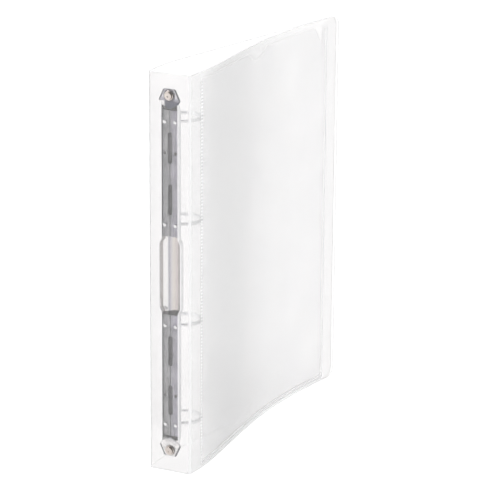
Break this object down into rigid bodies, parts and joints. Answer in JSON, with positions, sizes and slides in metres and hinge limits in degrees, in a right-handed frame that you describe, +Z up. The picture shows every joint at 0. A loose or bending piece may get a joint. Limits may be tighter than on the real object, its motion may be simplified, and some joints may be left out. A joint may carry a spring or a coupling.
{
  "type": "ring binder",
  "caption": "Frosted translucent ring binder with a clear front pocket, hinged covers and a spine-mounted steel ring mechanism that opens in two pairs.",
  "frame": {"origin": "middle of the spine's bottom edge, in the middle of the sheet's thickness", "axes": "+Z up along the spine, the spine's outside faces -Y, the covers run towards +Y, the front cover is on the +X side"},
  "size_m": [0.0386, 0.2631, 0.315],
  "materials": {
    "frosted_sheet": "frosted translucent polypropylene with a fine sand texture",
    "clear_film": "clear polypropylene film, lightly hazed",
    "chromed_plate": "bright nickel-chrome plating",
    "zinc_blade": "blue-grey bright zinc plating",
    "chromed_wire": "bright nickel-chrome plating",
    "nickel_rivet": "nickel-plated brass with a warm tint"
  },
  "bodies": {
    "spine": {"spine_panel": "frosted_sheet", "arch_plate": "chromed_plate", "rivet_top": "nickel_rivet", "rivet_bottom": "nickel_rivet"},
    "front_cover": {"front_cover": "frosted_sheet", "front_pocket_film": "clear_film"},
    "back_cover": {"back_cover": "frosted_sheet"},
    "upper_left_blade": {"upper_left_blade": "zinc_blade", "ring_1_left": "chromed_wire", "ring_2_left": "chromed_wire"},
    "upper_right_blade": {"upper_right_blade": "zinc_blade", "ring_1_right": "chromed_wire", "ring_2_right": "chromed_wire"},
    "lower_left_blade": {"lower_left_blade": "zinc_blade", "ring_3_left": "chromed_wire", "ring_4_left": "chromed_wire"},
    "lower_right_blade": {"lower_right_blade": "zinc_blade", "ring_3_right": "chromed_wire", "ring_4_right": "chromed_wire"}
  },
  "joints": [
    {"name": "front_cover_crease", "type": "hinge", "parent": "spine", "child": "front_cover", "pos_m": [0.0175, 0, 0.1575], "axis": [0, 0, -1], "range_deg": [0, 180]},
    {"name": "back_cover_crease", "type": "hinge", "parent": "spine", "child": "back_cover", "pos_m": [-0.0175, 0, 0.1575], "axis": [0, 0, 1], "range_deg": [0, 180]},
    {"name": "upper_rings_left", "type": "hinge", "parent": "spine", "child": "upper_left_blade", "pos_m": [-0.0059, 0.0023, 0.2375], "axis": [0, 0, 1], "range_deg": [0, 7]},
    {"name": "upper_rings_right", "type": "hinge", "parent": "spine", "child": "upper_right_blade", "pos_m": [0.0059, 0.0023, 0.2375], "axis": [0, 0, 1], "range_deg": [-7, 0]},
    {"name": "lower_rings_left", "type": "hinge", "parent": "spine", "child": "lower_left_blade", "pos_m": [-0.0059, 0.0023, 0.0775], "axis": [0, 0, 1], "range_deg": [0, 7]},
    {"name": "lower_rings_right", "type": "hinge", "parent": "spine", "child": "lower_right_blade", "pos_m": [0.0059, 0.0023, 0.0775], "axis": [0, 0, 1], "range_deg": [-7, 0]}
  ],
  "couplings": [
    {"joint": "upper_rings_right", "follows": "upper_rings_left", "ratio": -1},
    {"joint": "lower_rings_right", "follows": "lower_rings_left", "ratio": -1}
  ]
}
